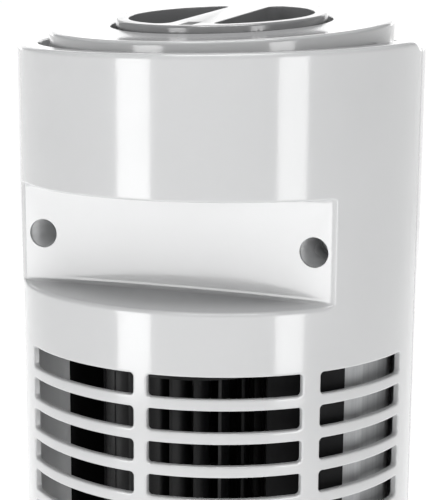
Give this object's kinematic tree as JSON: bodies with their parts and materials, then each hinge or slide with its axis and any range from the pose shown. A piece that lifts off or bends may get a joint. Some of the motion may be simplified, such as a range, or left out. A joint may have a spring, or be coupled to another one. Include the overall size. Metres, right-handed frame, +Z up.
{
  "type": "ceramic space heater",
  "caption": "Upright ceramic fan heater: round base, two-shell cylindrical tower, slotted rear intake with a hand recess, sloping lid with rotary selector.",
  "frame": {"origin": "on the floor under the tower axis", "axes": "+Z up along the tower, front air outlet to -Y, rear intake and hand recess to +Y"},
  "size_m": [0.21, 0.21, 0.578],
  "materials": {
    "white_shell": "glossy moulded white ABS",
    "white_lid": "glossy moulded white ABS",
    "knob_white": "satin moulded white ABS",
    "pointer_dark": "dark inlay",
    "base_white": "glossy moulded white ABS",
    "black_plastic": "black glass-filled nylon",
    "grey_plastic": "grey engineering plastic",
    "rubber_black": "black rubber",
    "zinc_steel": "galvanised sheet steel",
    "dark_steel": "dark coated steel",
    "screw_steel": "zinc plated steel",
    "cast_weight": "bare iron weight",
    "copper_coil": "taped copper winding",
    "laminations": "varnished steel laminations",
    "bronze": "sintered bronze",
    "ptc_ceramic": "insulated ceramic heating bar",
    "fin_aluminium": "corrugated aluminium",
    "wire_white": "silicone wire insulation"
  },
  "bodies": {
    "housing": {"base_shell": "base_white", "base_bottom_plate": "grey_plastic", "rubber_feet": "rubber_black", "base_screws": "screw_steel", "ballast_ring": "cast_weight", "tip_switch_body": "grey_plastic", "cord_gland": "rubber_black", "terminal_block": "grey_plastic", "terminal_screws": "screw_steel", "tower_floor": "dark_steel", "blower_posts": "screw_steel", "rear_casing": "white_shell", "front_casing": "white_shell", "front_grille": "grey_plastic", "casing_screws": "screw_steel", "top_panel": "white_lid", "rotary_switch": "grey_plastic", "switch_bracket": "zinc_steel", "switch_screws": "screw_steel", "blower_deck": "dark_steel", "blower_ceiling": "dark_steel", "top_bearing_bush": "bronze", "bearing_rubber_mount": "rubber_black", "motor_stator": "laminations", "motor_coil": "copper_coil", "motor_brackets": "zinc_steel", "motor_bearings": "bronze", "scroll_sheet": "zinc_steel", "tongue_sheet": "dark_steel", "inlet_guide": "black_plastic", "heater_frame": "black_plastic", "ptc_bars": "ptc_ceramic", "heater_fins": "fin_aluminium", "heater_terminals": "zinc_steel", "heater_bracket": "zinc_steel", "thermal_cutout": "grey_plastic", "main_loom": "wire_white", "heater_wires": "wire_white", "motor_lead": "wire_white"},
    "selector": {"selector_knob": "knob_white", "knob_pointer": "pointer_dark", "switch_shaft": "screw_steel"},
    "rotor": {"fan_wheel": "black_plastic", "motor_shaft": "screw_steel", "top_stub_shaft": "screw_steel", "motor_rotor": "laminations"},
    "tip_plunger": {"tip_switch_plunger": "black_plastic"}
  },
  "joints": [
    {"name": "selector_turn", "type": "hinge", "parent": "housing", "child": "selector", "pos_m": [0, 0, 0.5711], "axis": [0, -0.1063, -0.9943], "range_deg": [0, 135]},
    {"name": "fan_spin", "type": "hinge", "parent": "housing", "child": "rotor", "pos_m": [0, 0.022, 0.279], "axis": [0, 0, 1], "continuous": true},
    {"name": "tip_plunger_slide", "type": "slide", "parent": "housing", "child": "tip_plunger", "axis": [0, 0, -1], "range_m": [0, 0.004], "stiffness_N_per_m": 120, "springref_m": 0.004}
  ]
}
